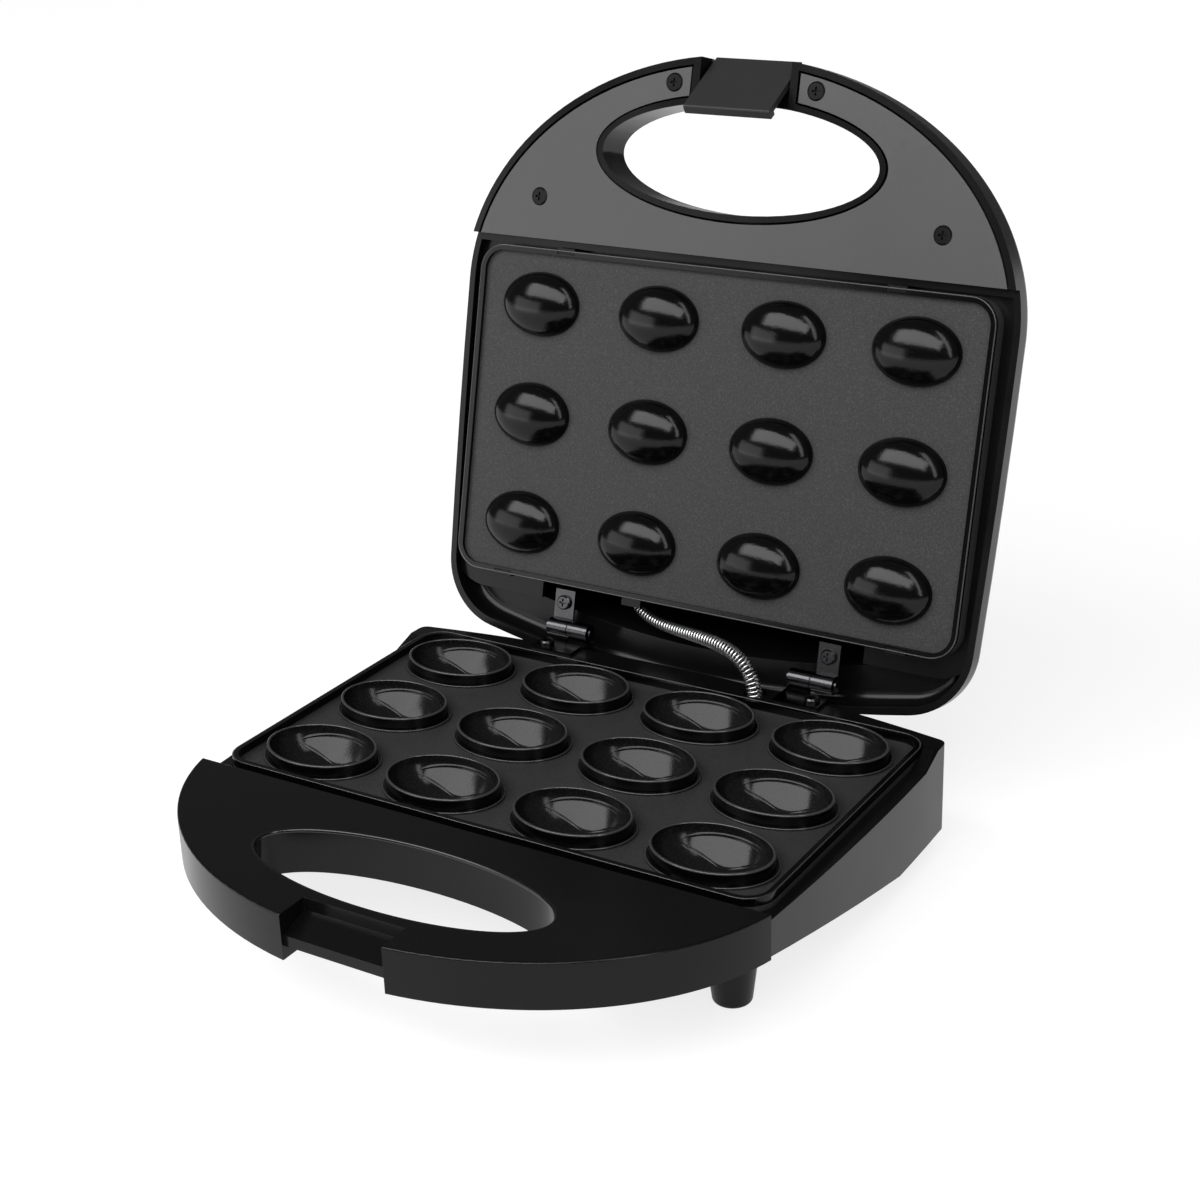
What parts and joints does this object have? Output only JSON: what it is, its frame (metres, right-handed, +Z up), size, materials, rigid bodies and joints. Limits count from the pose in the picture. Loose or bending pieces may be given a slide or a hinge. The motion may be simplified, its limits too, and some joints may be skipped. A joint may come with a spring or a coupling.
{
  "type": "electric nut cookie maker",
  "caption": "Countertop cooker with a hinged lid: oval bowls below, matching domes above, bowed front handles with finger holes and a swinging latch.",
  "frame": {"origin": "on the table, under the middle of the opened machine's bounding box", "axes": "+X to the right, +Y from the handle back to the hinge, +Z up"},
  "size_m": [0.23, 0.2888, 0.2644],
  "materials": {
    "black_shell": "glossy black heat-resistant moulding",
    "black_panel": "satin black moulding",
    "latch_grey": "satin dark grey moulding",
    "nonstick": "die-cast aluminium with dark non-stick coating",
    "plated_steel": "bright plated steel",
    "dark_steel": "dark plated steel",
    "heater_sheath": "heat-stained steel sheath",
    "reflector_sheet": "mill-finish sheet",
    "foot_plastic": "matt black moulding",
    "wire_cover": "heat-proof woven sleeve",
    "gland_rubber": "black bush",
    "ceramic": "pale insulating block",
    "lens_red": "translucent red lens",
    "lens_green": "translucent green lens",
    "lamp_glass": "small neon lamp"
  },
  "bodies": {
    "base": {"base_handle_cover": "black_shell", "base_housing": "black_shell", "conduit_lead": "wire_cover", "cord_gland": "gland_rubber", "foot_front_left": "foot_plastic", "foot_front_right": "foot_plastic", "foot_rear_left": "foot_plastic", "foot_rear_right": "foot_plastic", "foot_screws": "plated_steel", "heater_lead_front": "wire_cover", "heater_lead_rear": "wire_cover", "hinge_base_leaf_left": "dark_steel", "hinge_base_leaf_right": "dark_steel", "hinge_base_screws": "dark_steel", "hinge_pin_left": "dark_steel", "hinge_pin_right": "dark_steel", "lower_clamp_screws": "plated_steel", "lower_heater": "heater_sheath", "lower_heater_clamps": "plated_steel", "lower_plate": "nonstick", "lower_plate_screws": "plated_steel", "lower_reflector": "reflector_sheet", "spring_conduit": "plated_steel", "supply_lead": "wire_cover", "terminal_block": "ceramic", "terminal_screws": "plated_steel"},
    "lid": {"handle_panel_screws": "dark_steel", "hinge_lid_leaf_left": "dark_steel", "hinge_lid_leaf_right": "dark_steel", "hinge_lid_screws": "dark_steel", "lid_connector": "ceramic", "lid_handle_panel": "black_panel", "lid_housing": "black_shell", "lid_lead_front": "wire_cover", "lid_lead_rear": "wire_cover", "lid_supply_lead": "wire_cover", "power_lamp": "lamp_glass", "power_lens": "lens_red", "ready_lamp": "lamp_glass", "ready_lens": "lens_green", "thermal_fuse": "plated_steel", "thermostat": "plated_steel", "thermostat_screws": "plated_steel", "thermostat_strap": "plated_steel", "upper_clamp_screws": "plated_steel", "upper_heater": "heater_sheath", "upper_heater_clamps": "plated_steel", "upper_plate": "nonstick", "upper_plate_clips": "plated_steel", "upper_reflector": "reflector_sheet", "upper_reflector_screws": "plated_steel", "latch_pin": "plated_steel"},
    "latch": {"latch": "latch_grey"}
  },
  "joints": [
    {"name": "lid_hinge", "type": "hinge", "parent": "base", "child": "lid", "pos_m": [0, 0.0773, 0.0485], "axis": [1, 0, 0], "range_deg": [0, 104], "deforming": ["spring_conduit", "conduit_lead"]},
    {"name": "latch_swing", "type": "hinge", "parent": "lid", "child": "latch", "pos_m": [0, 0.13926, 0.25773], "axis": [1, 0, 0], "range_deg": [-46, 0]}
  ],
  "couplings": [
    {"joint": "latch_swing", "follows": "lid_hinge", "ratio": -0.43269}
  ]
}
